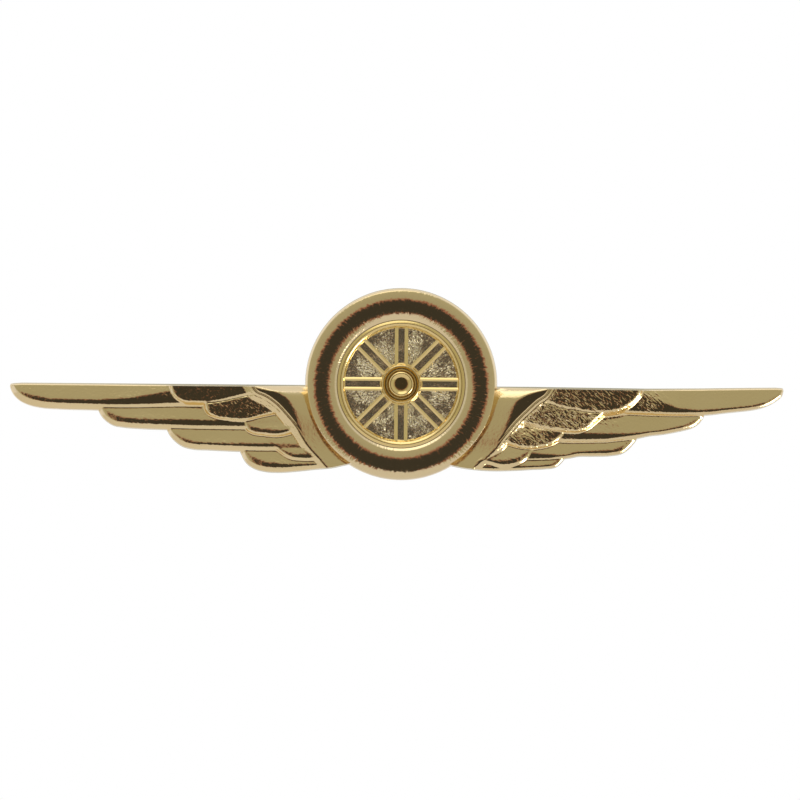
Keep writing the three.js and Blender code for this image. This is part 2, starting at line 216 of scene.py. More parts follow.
RIGHT_COVERTS = [
    dict(low=[(11, -0.9), (13.6, -1.55), (15.5, -2.16), (17.5, -2.55), (18.8, -2.68), (20, -2.66),
              (21.5, -2.36), (22.6, -1.7), (23.3, -0.8), (23.45, 0.2)],
         land=[(11, 0), (24, 0)], crest=(2.3, 2.0), lean=(0.03, 0.03), width=(0.27, 0.3)),
    dict(low=[(9, -2.4), (11.8, -3.65), (13.1, -4.05), (14.6, -4.36), (16, -4.54), (17.2, -4.56),
              (18.2, -4.2), (19.0, -3.4), (19.75, -2.6), (19.9, -1.8)],
         land=[(9, -0.4), (12, -1.2), (15.5, -2.2), (18.5, -2.7), (20, -2.8)], crest=(2.2, 2.02),
         lean=(0.35, 0.35), width=(0.27, 0.3)),
    dict(low=[(7, -4.0), (9.2, -5.25), (10.5, -5.75), (12, -6.16), (13.2, -6.16), (14.4, -5.94), (15.3, -5.4),
              (16.05, -4.5), (16.2, -3.6)],
         land=[(16, -3.8), (14, -4.3), (12.5, -5.2), (11, -5.2), (8, -4.4)], crest=(2.2, 2.14),
         lean=(0.25, 0.2), width=(0.26, 0.3)),
    dict(low=[(5, -7.5), (6.4, -7.75), (7.7, -7.62), (8.6, -7.7), (9.6, -7.98), (10.8, -7.94), (11.9, -7.58),
              (12.7, -6.8), (13.15, -6.1), (13.3, -5.2)],
         land=[(13.2, -5.6), (12.4, -6.5), (11.3, -7.1), (10, -7.4), (8, -7.3), (6, -7.4)],
         crest=(2.15, 2.2), lean=(0.26, 0.26), width=(0.25, 0.3)),
]

# The shoulder is a raised crescent: it falls over its outer line to the feathers, and from its inner line, a
# distance from the wheel's centre given for each height, it leans down to the wheel.
LEFT_SHOULDER = dict(
    outer=[(-14.9, -0.2), (-14.3, -1.1), (-13.2, -1.62), (-12.2, -2.35), (-11.3, -3.3), (-10.3, -4.5),
           (-9.2, -6.0), (-8, -7.2), (-7.2, -8.2)],
    inner=[(14.5, -0.3), (13.0, -0.65), (12.0, -0.85), (11.3, -1.3), (10.9, -2), (10.7, -3), (10.8, -3.8),
           (11.1, -4.6), (11.4, -6), (11.4, -8)])
RIGHT_SHOULDER = dict(
    outer=[(15.0, -0.2), (14.3, -1.25), (13.4, -1.9), (12.5, -2.75), (11.5, -3.75), (10.5, -4.95),
           (9.5, -6.1), (8.3, -7.1), (7.2, -7.9)],
    inner=[(14.5, -0.3), (12.7, -0.75), (12.2, -0.95), (11.5, -1.4), (11.2, -2), (11.1, -3), (11.1, -4.2),
           (11.3, -5.2), (11.6, -6), (11.6, -8)])
SHOULDER_TOP = 2.42
SHOULDER_FALL = 0.6
SHOULDER_EDGE = 0.28
GROOVE_AT = 0.4
GROOVE_WIDTH = 0.08
GROOVE_DEPTH = 0.07
WEB_FALL = 0.27


def across(z, line):
    """Where a line that runs steadily down crosses height z."""
    order = np.argsort(line[:, 1])
    return np.interp(z, line[order, 1], line[order, 0])


def shoulder(x, z, outer, inner):
    """Depth of the shoulder, and how far each point lies within its outer line."""
    outer = curve_through(outer)
    within = distance_to(outer, x, z) * np.where(np.abs(x) < np.abs(across(z, outer)), 1, -1)
    edge = SHOULDER_TOP + SHOULDER_FALL * (within - SHOULDER_EDGE)
    crown = soft_min(np.full(x.shape, SHOULDER_TOP), edge, BEVEL_ROUNDING)
    groove = GROOVE_DEPTH * np.exp(-(((within - GROOVE_AT) / GROOVE_WIDTH) ** 2))
    towards_wheel = across(z, curve_through(inner)) - np.hypot(x, z)
    depth = soft_min(crown - groove, SHOULDER_TOP - WEB_FALL * towards_wheel, 0.04)
    return np.where(within > -0.5, depth, OUTSIDE), within


def smooth_step(value, low, high):
    """0 below low, 1 above high and a soft rise between."""
    t = np.clip((value - low) / (high - low), 0, 1)
    return t * t * (3 - 2 * t)


BASE_DEPTH = 0.3
VALLEY = 0.055
WHEEL_SEAT = 8.9
SEAT_DEPTH = 1.3


def wing_relief(x, z, primaries, coverts, crescent, chasing, rough):
    """Depth of a wing's face, and how coarse its texture is (0 polished, 1 chased). chasing gives the texture
    of each covert at its root and tip; rough lists spots as x, z, reach along X, reach along Z, strength."""
    depth = np.full(x.shape, BASE_DEPTH)
    for vane in primaries:
        depth = soft_max(depth, feather(x, z, **vane), VALLEY)
    grain = np.zeros(x.shape)
    for vane, (at_root, at_tip) in zip(coverts, chasing):
        covert = feather(x, z, **vane)
        share = smooth_step(covert - depth, 0.1, 0.3)
        strength = ramp(x, vane["low"][0][0], vane["low"][-1][0], at_root, at_tip)
        grain = grain * (1 - share) + share * strength
        depth = soft_max(depth, covert, VALLEY)
    ridge, within = shoulder(x, z, **crescent)
    buried = smooth_step(within, 0.2, 0.5)
    for mark_x, mark_z, reach_x, reach_z, strength in rough:
        away = ((x - mark_x) / reach_x) ** 2 + ((z - mark_z) / reach_z) ** 2
        grain = np.maximum(grain, strength * np.exp(-away))
    grain = grain * (1 - smooth_step(within, -0.1, 0.05))
    depth = soft_max(depth - buried, ridge, VALLEY)
    return np.where(np.hypot(x, z) < WHEEL_SEAT, np.minimum(depth, SEAT_DEPTH), depth), grain


def lower_outline(x, primaries):
    """The wing's lower edge: the lowest of its feathers' edges."""
    bottom = np.full(x.shape, -OUTSIDE)
    for vane in primaries:
        low = curve_through(vane["low"])
        reaches = np.abs(x) <= abs(low[-1, 0])
        bottom = np.where(reaches, np.minimum(bottom, at(x, low)), bottom)
    return bottom


def spread_outline(x, draft, primaries):
    """The lower edge moved outwards by the draft: the lowest reach of a disc rolled along it."""
    spread = np.full(x.shape, -OUTSIDE)
    for share in np.linspace(-1, 1, 25):
        reach = draft * math.sqrt(1 - share * share)
        spread = np.minimum(spread, lower_outline(x + share * draft, primaries) - reach)
    return spread


TOP_EDGE = [(-38.2, -0.5), (-37.9, -0.42), (-37, -0.36), (-20, -0.36), (-4, -0.36), (4, -0.36), (13, -0.36),
            (24, -0.44), (29, -0.38), (34, -0.28), (36.6, -0.24), (37.3, -0.3)]
WING_ROOT = 4.6
LEFT_TIP = -38.05
RIGHT_TIP = 37.2
COLUMNS = 600
ROWS = 130

# Steps of the rim, from the struck face's edge to the flat back: share of the draft, share of the depth.
RIM = np.array([(0.0, 0.0), (0.2, 0.06), (0.5, 0.32), (1.0, 1.0)])
WALL = len(RIM) - 1
TOP_DRAFT = 0.2
LOW_DRAFT = 0.14

# The plate's round middle. The wings' backs stop just under it, so that the two never share a plane.
BACKING_RADIUS = 9.38
UNDER_BACKING = -0.05


def wing_grid(name):
    """A flat grid for one wing, and each vertex's column and row. The rings of the rim come before 0 and
    after the last column and row of the struck face."""
    across_count = COLUMNS + 2 * WALL
    down_count = ROWS + 2 * WALL
    bpy.ops.mesh.primitive_grid_add(x_subdivisions=across_count, y_subdivisions=down_count, size=2)
    wing = bpy.context.object
    wing.name = name
    co = np.empty(len(wing.data.vertices) * 3)
    wing.data.vertices.foreach_get("co", co)
    co = co.reshape(-1, 3)
    column = np.rint((co[:, 0] + 1) / 2 * across_count) - WALL
    row = np.rint((1 - co[:, 1]) / 2 * down_count) - WALL
    return wing, column, row


def close_back(wing):
    """Merges the points that met at the corners and fills the flat back."""
    bpy.ops.object.mode_set(mode="EDIT")
    bpy.ops.mesh.select_mode(type="VERT")
    bpy.ops.mesh.select_all(action="SELECT")
    bpy.ops.mesh.remove_doubles(threshold=1e-4)
    bpy.ops.mesh.select_all(action="DESELECT")
    bpy.ops.mesh.select_non_manifold()
    bpy.ops.mesh.edge_face_add()
    bpy.ops.object.mode_set(mode="OBJECT")


def strike_wing(name, tip, primaries, coverts, crescent, chasing, rough):
    """Strikes one wing: a fine grid is pressed to the relief, and its rim is drawn down to the flat back."""
    wing, column, row = wing_grid(name)
    side_ring = np.maximum(-column, column - COLUMNS).clip(0).astype(int)
    level_ring = np.maximum(-row, row - ROWS).clip(0).astype(int)
    ring = np.maximum(side_ring, level_ring)
    out_share, back_share = RIM[ring].T
    past_end = LOW_DRAFT * RIM[side_ring, 0]
    start, end = sorted((math.copysign(WING_ROOT, tip), tip))
    inside = start + (end - start) * column.clip(0, COLUMNS) / COLUMNS
    x = inside + np.sign(column) * past_end
    top = at(inside, np.array(TOP_EDGE))
    bottom = lower_outline(inside, primaries)
    z = top + (bottom - top) * row.clip(0, ROWS) / ROWS
    depth, grain = wing_relief(inside, z, primaries, coverts, crescent, chasing, rough)

    on_level = level_ring > side_ring
    rise = TOP_DRAFT * np.sqrt(np.maximum(out_share**2 - (past_end / LOW_DRAFT) ** 2, 0))
    z = np.where((row < 0) & on_level, top + rise, z)
    z = np.where((row > ROWS) & on_level, spread_outline(x, LOW_DRAFT * out_share, primaries), z)
    y = -depth * (1 - back_share)
    covered = (ring == WALL) & (np.hypot(x, z) < BACKING_RADIUS + 0.05)
    y = np.where(covered, UNDER_BACKING, y)

    wing.data.vertices.foreach_set("co", np.stack([x, y, z], 1).ravel())
    mark = wing.data.attributes.new("grain", "FLOAT", "POINT")
    mark.data.foreach_set("value", grain * (ring == 0))
    close_back(wing)
    return wing


def settle(piece):
    """Puts a piece that was shaped in millimetres at its real size, with its place in its mesh."""
    piece.data.transform(Matrix.Scale(MM, 4))
    piece.data.update()
    for other in bpy.context.selected_objects:
        other.select_set(False)
    piece.select_set(True)
    bpy.context.view_layer.objects.active = piece
    bpy.ops.object.shade_smooth_by_angle(angle=math.radians(48))
    piece.select_set(False)


def per_mm(marks):
    """The noise scale that gives so many marks to the millimetre."""
    return marks / MM


PLATE_COLOURS = ("#F4DCA8", "#EED49A")
STROKE_SLANT = 40
STROKE_STRETCH = 2.0


def plated_gold(name, grain, grain_depth, chased_depth=0.0, colours=PLATE_COLOURS, roughness=0.09):
    """Gold plate over brass. It mirrors the room, and the unevenness that a barrel polish leaves, so many
    grains to the millimetre, makes its reflections ragged at the edges."""
    material = new_material(name)
    tree = material.node_tree
    place = add_node(tree, "ShaderNodeTexCoord")
    ripple = add_node(tree, "ShaderNodeTexNoise", {
        "Vector": (place, "Object"), "Scale": per_mm(grain), "Detail": 3.0, "Roughness": 0.6})
    bump = add_node(tree, "ShaderNodeBump", {"Height": (ripple, "Fac"), "Distance": grain_depth})
    if chased_depth:
        # Chased feathers carry short slanting strokes, a quarter of a millimetre apart and twice as long.
        turn = add_node(tree, "ShaderNodeMapping", {"Vector": (place, "Object")}, vector_type="TEXTURE")
        turn.inputs["Rotation"].default_value = (0, math.radians(STROKE_SLANT), 0)
        turn.inputs["Scale"].default_value = (STROKE_STRETCH, 1.0, 1.0)
        strokes = add_node(tree, "ShaderNodeTexNoise", {
            "Vector": (turn, "Vector"), "Scale": per_mm(4.0), "Detail": 1.0, "Roughness": 0.5})
        mark = add_node(tree, "ShaderNodeAttribute", attribute_name="grain")
        height = add_node(tree, "ShaderNodeMath", {0: (strokes, "Fac"), 1: (mark, "Fac")},
                          operation="MULTIPLY")
        bump = add_node(tree, "ShaderNodeBump", {
            "Height": (height, "Value"), "Distance": chased_depth, "Normal": (bump, "Normal")})
    # The plate's thickness varies over a few millimetres, so it drifts between two shades of yellow.
    wear = add_node(tree, "ShaderNodeTexNoise", {
        "Vector": (place, "Object"), "Scale": per_mm(0.26), "Detail": 2.0})
    colour = add_node(tree, "ShaderNodeMix", {"Factor": (wear, "Fac")}, data_type="RGBA")
    colour.inputs[6].default_value = tone(colours[0])
    colour.inputs[7].default_value = tone(colours[1])
    shader = add_node(tree, "ShaderNodeBsdfPrincipled", {
        "Base Color": (colour, 2), "Metallic": 1.0, "Roughness": roughness, "Normal": (bump, "Normal")})
    add_node(tree, "ShaderNodeOutputMaterial", {"Surface": (shader, "BSDF")})
    return material


# The front is polished to a mirror: it shows the room as bright planes with dark, ragged bands.
polished_gold = plated_gold("mirror-polished gold plate", 3.6, 2.0e-5, chased_depth=1.45e-4)

# The backs aren't polished: the plate keeps the fine sandy skin of the die, so it reflects softly.
struck_back = plated_gold("satin gold plate over the struck back", 2.6, 3.0e-5, roughness=0.34)

LEFT_CHASING = ((0.2, 0.25), (0.7, 0.35), (0.15, 0.15), (0.1, 0.1))
LEFT_ROUGH = [(-22.5, -1.3, 1.6, 0.6, 0.35), (-26.5, -1.7, 3.0, 0.5, 0.2), (-18, -3.8, 2, 0.3, 0.3),
              (-24.5, -3.7, 3.0, 0.4, 0.3), (-18, -5.9, 3.5, 0.3, 0.25), (-11.5, -7.9, 3.0, 0.4, 0.25)]
left_wing = strike_wing("wing_left", LEFT_TIP, LEFT_PRIMARIES, LEFT_COVERTS, LEFT_SHOULDER, LEFT_CHASING,
                        LEFT_ROUGH)

RIGHT_CHASING = ((0.9, 0.45), (1.1, 1.0), (0.4, 0.9), (0.2, 0.1))
RIGHT_ROUGH = [(24.2, -1.4, 1.5, 1.2, 0.9), (20.2, -3.4, 1.2, 0.7, 0.5), (16.6, -4.9, 1.0, 0.4, 0.4),
               (9.6, -2.6, 0.9, 1.6, 0.5), (9.2, -5.5, 1.0, 1.4, 0.35)]
right_wing = strike_wing("wing_right", RIGHT_TIP, RIGHT_PRIMARIES, RIGHT_COVERTS, RIGHT_SHOULDER,
                         RIGHT_CHASING, RIGHT_ROUGH)


def finish_back(piece):
    """Gives the faces that look straight back the satin finish."""
    piece.data.materials.append(struck_back)
    for face in piece.data.polygons:
        if face.normal.y > 0.95:
            face.material_index = 1


for wing in (left_wing, right_wing):
    settle(wing)
    wing.data.materials.append(polished_gold)
    finish_back(wing)
    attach(wing, "badge")
    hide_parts("wings_plate")


# ---------------------------------------------------------------- the wheel
# The wheel is a second brass striking, gold plated and soldered on the plate's round middle. It has a
# rounded tyre, a thin rim, and a recessed and stippled floor under paired spokes and a hub.


def turned(name, profile, steps):
    """Spins a profile of (radius, how far it stands out) once around the wheel's axis."""
    bpy.ops.mesh.primitive_circle_add(vertices=len(profile), radius=1)
    piece = bpy.context.object
    piece.name = name
    for vertex, (radius, depth) in zip(piece.data.vertices, profile):
        vertex.co = (radius, -depth, 0)
    bpy.ops.object.mode_set(mode="EDIT")
    bpy.ops.mesh.select_mode(type="VERT")
    bpy.ops.mesh.select_all(action="SELECT")
    bpy.ops.mesh.spin(steps=steps, angle=2 * math.pi, center=(0, 0, 0), axis=(0, 1, 0))
    bpy.ops.mesh.select_all(action="SELECT")
    bpy.ops.mesh.remove_doubles(threshold=1e-4)
    bpy.ops.mesh.normals_make_consistent(inside=False)
    bpy.ops.object.mode_set(mode="OBJECT")
    return piece


def arch(start, end, count):
    """Points on a low arch: each of start and end is (radius, depth, slope of its side in degrees)."""
    (r0, d0, a0), (r1, d1, a1) = start, end
    angles = np.radians(np.linspace(a0, a1, count))
    bow = (np.sin(angles[0]) - np.sin(angles)) / (np.sin(angles[0]) - np.sin(angles[-1]))
    rise = np.cos(angles) - np.cos(angles[0]) - (np.cos(angles[-1]) - np.cos(angles[0])) * bow
    radius = (r0 - r1) / (np.sin(angles[0]) - np.sin(angles[-1]))
    return [(r0 + (r1 - r0) * b, d0 + (d1 - d0) * b + radius * h) for b, h in zip(bow, rise)]


# The plate's round middle, a little wider than the wheel, with the drafted side that the die leaves.
AXIS = 0.001
PLATE = 1.2
WHEEL_RADIUS = 9.1
backing_profile = [(AXIS, 0.0), (BACKING_RADIUS, 0.0), (9.36, 0.35), (9.2, PLATE - 0.12),
                   (WHEEL_RADIUS, PLATE), (AXIS, PLATE)]
backing = turned("wheel_backing", backing_profile, 160)
settle(backing)
backing.data.materials.append(polished_gold)
finish_back(backing)
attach(backing, "badge")
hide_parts("wings_plate")

# The wheel's front from the tyre inwards, as radius and how far it stands out.
TYRE_PROFILE = arch((9.06, 2.62, 21), (6.44, 2.62, -20), 30)
RIM_PROFILE = [(6.42, 2.6), (6.38, 2.58), (6.28, 2.49), (6.24, 2.47), (6.18, 2.48), (6.12, 2.51),
               (5.94, 2.61), (5.9, 2.62), (5.86, 2.61), (5.66, 2.5), (5.6, 2.4), (5.5, 2.14), (5.46, 2.1)]
HUB_PROFILE = [(2.05, 2.1), (2.0, 2.14), (1.86, 2.36), (1.8, 2.41), (1.76, 2.42), (1.72, 2.4), (1.58, 2.24),
               (1.5, 2.17), (1.42, 2.15), (1.35, 2.18), (1.28, 2.35), (1.22, 2.5), (1.1, 2.61), (1.04, 2.63),
               (0.98, 2.61), (0.8, 2.45), (0.62, 2.39), (0.3, 2.4), (AXIS, 2.41)]


def tumbled_gold(name):
    """Gold plate on the tyre: fine scratches that run outwards, so every reflection has a hairy edge."""
    material = new_material(name)
    tree = material.node_tree
    around = add_node(tree, "ShaderNodeAttribute", attribute_name="around")
    hairs = add_node(tree, "ShaderNodeTexNoise", {
        "Vector": (around, "Vector"), "Scale": per_mm(4.2), "Detail": 2.0})
    bump = add_node(tree, "ShaderNodeBump", {"Height": (hairs, "Fac"), "Distance": 3.2e-5})
    shader = add_node(tree, "ShaderNodeBsdfPrincipled", {
        "Base Color": tone("#F2DAA6"), "Metallic": 1.0, "Roughness": 0.09, "Normal": (bump, "Normal")})
    add_node(tree, "ShaderNodeOutputMaterial", {"Surface": (shader, "BSDF")})
    return material


FLOOR = 2.1
FLOOR_OUTER = 5.42
FLOOR_INNER = 2.1
FLOOR_RINGS = 42
floor_step = (FLOOR_OUTER - FLOOR_INNER) / FLOOR_RINGS
floor_profile = [(FLOOR_OUTER - floor_step * ring, FLOOR) for ring in range(FLOOR_RINGS + 1)]
SOLDER = 0.01
side_profile = [(AXIS, PLATE + SOLDER), (9.08, PLATE + SOLDER), (WHEEL_RADIUS, 1.7), (WHEEL_RADIUS, 2.5),
                (9.09, 2.6)]
wheel = turned("wheel", side_profile + TYRE_PROFILE + RIM_PROFILE + floor_profile + HUB_PROFILE, 480)

# The floor between the spoke pairs is stippled with small punched pits. The strip inside each pair is
# smoother.
SPOKE_PAIRS = 8
SPOKE_APART = 0.95
STIPPLE = 0.05
STRIP_SHARE = 0.3
pair_angle = 2 * math.pi / SPOKE_PAIRS
rng = np.random.default_rng(815)
for vertex in wheel.data.vertices:
    radius = math.hypot(vertex.co.x, vertex.co.z)
    off_pair = (math.atan2(vertex.co.z, vertex.co.x) + pair_angle / 2) % pair_angle - pair_angle / 2
    beside_pair = abs(radius * math.sin(off_pair)) > SPOKE_APART / 2
    on_floor = FLOOR_INNER + 0.05 < radius < FLOOR_OUTER + 0.01 and abs(vertex.co.y + FLOOR) < 0.01
    if on_floor:
        patchy = 0.75 + 0.7 * noise.noise(vertex.co * 0.8)
        swell = 0 if beside_pair else 0.06 * noise.noise(vertex.co * 1.1)
        vertex.co.y += STIPPLE * patchy * (1 if beside_pair else STRIP_SHARE) * rng.uniform(-1, 1) + swell

# The spokes are half-buried rods with flats, their ends inside the hub and the rim.
SPOKE_RADIUS = 0.2
SPOKE_START = 1.8
SPOKE_END = 5.7
bpy.ops.mesh.primitive_cylinder_add(vertices=6, radius=SPOKE_RADIUS, depth=SPOKE_END - SPOKE_START,
                                    rotation=(0, math.pi / 2, 0),
                                    location=((SPOKE_START + SPOKE_END) / 2, -FLOOR, SPOKE_APART / 2))
first_spoke = bpy.context.object
bpy.ops.object.transform_apply(location=True, rotation=True, scale=True)
parts = [first_spoke]
for pair in range(SPOKE_PAIRS):
    for side in (0, 1):
        if pair or side:
            spoke = first_spoke.copy()
            spoke.data = first_spoke.data.copy()
            bpy.context.collection.objects.link(spoke)
            if side:
                spoke.data.transform(Matrix.Translation((0, 0, -SPOKE_APART)))
            spoke.data.transform(Matrix.Rotation(pair * pair_angle, 4, "Y"))
            parts.append(spoke)
for piece in bpy.context.selected_objects:
    piece.select_set(False)
for piece in parts + [wheel]:
    piece.select_set(True)
bpy.context.view_layer.objects.active = wheel
bpy.ops.object.join()
settle(wheel)

# The scratches follow a circle at the tyre's crest and are drawn out three times as long across it.
CREST_RADIUS = 7.6
SCRATCH_STRETCH = 0.3
around = wheel.data.attributes.new("around", "FLOAT_VECTOR", "POINT")
for vertex, mark in zip(wheel.data.vertices, around.data):
    radius = math.hypot(vertex.co.x, vertex.co.z)
    turn = CREST_RADIUS * MM / max(radius, MM)
    mark.vector = (vertex.co.x * turn, vertex.co.z * turn, SCRATCH_STRETCH * radius)

# The tyre is barrel-polished and its highlights are streaky. In the recess the plate is coloured a deeper
# yellow than the tyre: a painted reflection that stands in for the yellow light gains bouncing between the
# gold rim, spokes and hub.
wheel.data.materials.append(tumbled_gold("barrel-polished gold plate on the tyre"))
wheel.data.materials.append(plated_gold("recess gold plate with painted bounce yellow", 4.6, 1.2e-5,
                                        colours=("#F4D996", "#EFCF84"), roughness=0.1))
# The floor's finest pits are smaller than its mesh can hold, so its plate also scatters the light a little.
# Its plate is also coloured paler and whiter than the rest: painted sheen, standing in for the glitter of
# those pits.
wheel.data.materials.append(plated_gold("stippled floor gold plate with painted pale sheen", 4.6, 1.2e-5,
                                        colours=("#F6E9C4", "#F0DEB0"), roughness=0.25))
# Faces inside the rim's foot that don't look straight back take the recess plate with its painted bounce
# yellow. Those on the floor take the floor plate with its painted pale sheen.
RIM_FOOT = 6.17
for face in wheel.data.polygons:
    radius = math.hypot(face.center.x, face.center.z) / MM
    if radius < RIM_FOOT and face.normal.y < 0.9:
        on_floor = FLOOR_INNER < radius < FLOOR_OUTER + 0.01 and abs(face.center.y / MM + FLOOR) < 0.06
        face.material_index = 2 if on_floor else 1
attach(wheel, "badge")
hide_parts("wheel_medallion")


# ---------------------------------------------------------------- pin bar
# A flat strip of gold-plated brass with round ends, sunk a little into the back and soldered there. Two
# holes let the solder through.

# The bought fittings are plated but not polished, so they shine softly and show no clear reflections.
satin_gold = plated_gold("satin gold plate on the fittings", 3.2, 1.6e-5, roughness=0.3,
                         colours=("#EFD490", "#E4C67C"))
BAR_Z = -3.4
BAR_FACE = 0.55
BAR_SUNK = 0.15
BAR_END = 2.2
BAR_REACH = 16.8
SOLDER_HOLE = 0.7
SOLDER_HOLE_X = 9.5


def tool_cylinder(radius, depth, place, axis, vertices=48):
    """A cylinder along an axis, with its middle at place."""
    turns = {"X": (0, math.pi / 2, 0), "Y": (math.pi / 2, 0, 0), "Z": (0, 0, 0)}
    bpy.ops.mesh.primitive_cylinder_add(vertices=vertices, radius=radius, depth=depth, location=place,
                                        rotation=turns[axis])
    bpy.ops.object.transform_apply(location=True, rotation=True, scale=True)
    return bpy.context.object


def tool_box(low, high):
    """A box between two opposite corners."""
    middle = [(a + b) / 2 for a, b in zip(low, high)]
    bpy.ops.mesh.primitive_cube_add(size=1, location=middle)
    bpy.context.object.scale = [b - a for a, b in zip(low, high)]
    bpy.ops.object.transform_apply(location=True, rotation=True, scale=True)
    return bpy.context.object


def combine(piece, tool, operation):
    """Joins a tool to the piece (UNION) or cuts it away (DIFFERENCE)."""
    bpy.context.view_layer.objects.active = piece
    change = piece.modifiers.new("combine", "BOOLEAN")
    change.object = tool
    change.operation = operation
    change.solver = "EXACT"
    bpy.ops.object.modifier_apply(modifier=change.name)
    bpy.data.objects.remove(tool)


def soften(piece, width, segments=3):
    """Breaks the sharp edges, as tumbling does."""
    bpy.context.view_layer.objects.active = piece
    change = piece.modifiers.new("soften", "BEVEL")
    change.width = width
    change.segments = segments
    change.limit_method = "ANGLE"
    change.angle_limit = math.radians(40)
    bpy.ops.object.modifier_apply(modifier=change.name)


bar = tool_cylinder(BAR_END, BAR_FACE + BAR_SUNK, (0, (BAR_FACE - BAR_SUNK) / 2, BAR_Z), "Y", 50)
bar.name = "pin_bar_strip"
for vertex in bar.data.vertices:
    vertex.co.x += math.copysign(BAR_REACH, vertex.co.x)
for side in (-1, 1):
    hole = tool_cylinder(SOLDER_HOLE, 3, (side * SOLDER_HOLE_X, 0.5, BAR_Z), "Y")
    combine(bar, hole, "DIFFERENCE")
soften(bar, 0.12)
settle(bar)
bar.data.materials.append(satin_gold)
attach(bar, "badge")
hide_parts("pin_bar")


# ---------------------------------------------------------------- hinge bracket
# Folded from brass sheet and gold plated: a foot soldered on the bar and two round-topped ears, drilled
# through for the rivet.

HINGE_X = -16.6
AXIS_Y = 3.4
FOOT_HALF_LENGTH = 1.9
FOOT_HALF_WIDTH = 1.2
FOOT_THICK = 0.4
EAR_RADIUS = 1.15
EAR_ROOT = 1.6
EAR_THICK = 0.45
EAR_OFFSET = 0.975
EAR_HOLE = 0.52
foot_low = (HINGE_X - FOOT_HALF_LENGTH, BAR_FACE - 0.02, BAR_Z - FOOT_HALF_WIDTH)
foot_high = (HINGE_X + FOOT_HALF_LENGTH, BAR_FACE + FOOT_THICK, BAR_Z + FOOT_HALF_WIDTH)
bracket = tool_box(foot_low, foot_high)
bracket.name = "hinge_bracket_sheet"
for side in (-1, 1):
    ear = tool_cylinder(EAR_RADIUS, EAR_THICK, (HINGE_X, AXIS_Y, BAR_Z + side * EAR_OFFSET), "Z", 48)
    # the lower half is drawn down to the foot and widens towards it
    for vertex in ear.data.vertices:
        if vertex.co.y < AXIS_Y - 0.01:
            vertex.co.y = BAR_FACE
            vertex.co.x = HINGE_X + (vertex.co.x - HINGE_X) * EAR_ROOT / EAR_RADIUS
    combine(bracket, ear, "UNION")
combine(bracket, tool_cylinder(EAR_HOLE, 4, (HINGE_X, AXIS_Y, BAR_Z), "Z"), "DIFFERENCE")
soften(bracket, 0.07)
settle(bracket)
bracket.data.materials.append(satin_gold)
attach(bracket, "badge")
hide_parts("hinge_bracket")


# ---------------------------------------------------------------- hinge rivet
# A short brass rivet, gold plated and polished with the front. It goes through both ears and the pin's eye
# and is headed over at each end, so the stem stays on it.

RIVET_PROFILE = [(AXIS, -1.57), (0.3, -1.56), (0.58, -1.51), (0.78, -1.42), (0.91, -1.32), (0.95, -1.25),
                 (0.93, -1.22), (0.5, -1.22), (0.5, 1.22), (0.93, 1.22), (0.95, 1.25), (0.91, 1.32),
                 (0.78, 1.42), (0.58, 1.51), (0.3, 1.56), (AXIS, 1.57)]
rivet = turned("hinge_rivet_headed", RIVET_PROFILE, 48)
rivet.data.transform(Matrix.Translation((HINGE_X, AXIS_Y, BAR_Z)) @ Matrix.Rotation(math.pi / 2, 4, "X"))
settle(rivet)
rivet.data.materials.append(polished_gold)
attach(rivet, "badge")
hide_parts("hinge_rivet")


# ---------------------------------------------------------------- pin stem
# Hard-drawn wire, gold plated. One end is flattened and drilled as an eye that turns on the rivet, and the
# other is ground to a point.


def drawn_wire(name):
    """Gold-plated wire: a slightly paler plate over long fine lines from the drawing die, which stretch each
    highlight across the wire."""
    material = new_material(name)
    tree = material.node_tree
    place = add_node(tree, "ShaderNodeTexCoord")
    along = add_node(tree, "ShaderNodeMapping", {"Vector": (place, "Object")})
    along.inputs["Scale"].default_value = (0.03, 1.0, 1.0)
    lines = add_node(tree, "ShaderNodeTexNoise", {
        "Vector": (along, "Vector"), "Scale": per_mm(9.0), "Detail": 2.0})
    bump = add_node(tree, "ShaderNodeBump", {"Height": (lines, "Fac"), "Distance": 6e-6})
    shine = add_node(tree, "ShaderNodeMapRange", {"Value": (lines, "Fac"), "To Min": 0.14, "To Max": 0.3})
    shader = add_node(tree, "ShaderNodeBsdfPrincipled", {
        "Base Color": tone("#F3E0A8"), "Metallic": 1.0, "Roughness": (shine, "Result"),
        "Normal": (bump, "Normal")})
    add_node(tree, "ShaderNodeOutputMaterial", {"Surface": (shader, "BSDF")})
    return material


WIRE_RADIUS = 0.42
WIRE_PROFILE = [(AXIS, -0.75), (WIRE_RADIUS, -0.75), (WIRE_RADIUS, -30.8), (0.4, -31.6), (0.35, -32.6),
                (0.27, -33.8), (0.16, -34.8), (0.05, -35.45), (AXIS, -35.5)]
EYE_RADIUS = 1.1
EYE_HEIGHT = 1.36
EYE_HOLE = 0.56
stem = turned("pin_stem_wire", WIRE_PROFILE, 32)
stem.data.transform(Matrix.Rotation(-math.pi / 2, 4, "Z"))
combine(stem, tool_cylinder(EYE_RADIUS, EYE_HEIGHT, (0, 0, 0), "Z", 64), "UNION")
combine(stem, tool_cylinder(EYE_HOLE, 3, (0, 0, 0), "Z"), "DIFFERENCE")
soften(stem, 0.08)
stem.data.transform(Matrix.Translation((HINGE_X, AXIS_Y, BAR_Z)))
settle(stem)
stem.data.materials.append(drawn_wire("gold-plated drawn wire"))
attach(stem, "pin")
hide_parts("pin_stem")


# ---------------------------------------------------------------- catch housing
# A C-shaped brass stamping on a foot, gold plated and soldered on the bar. Its mouth faces away from the
# badge and lets the wire in.

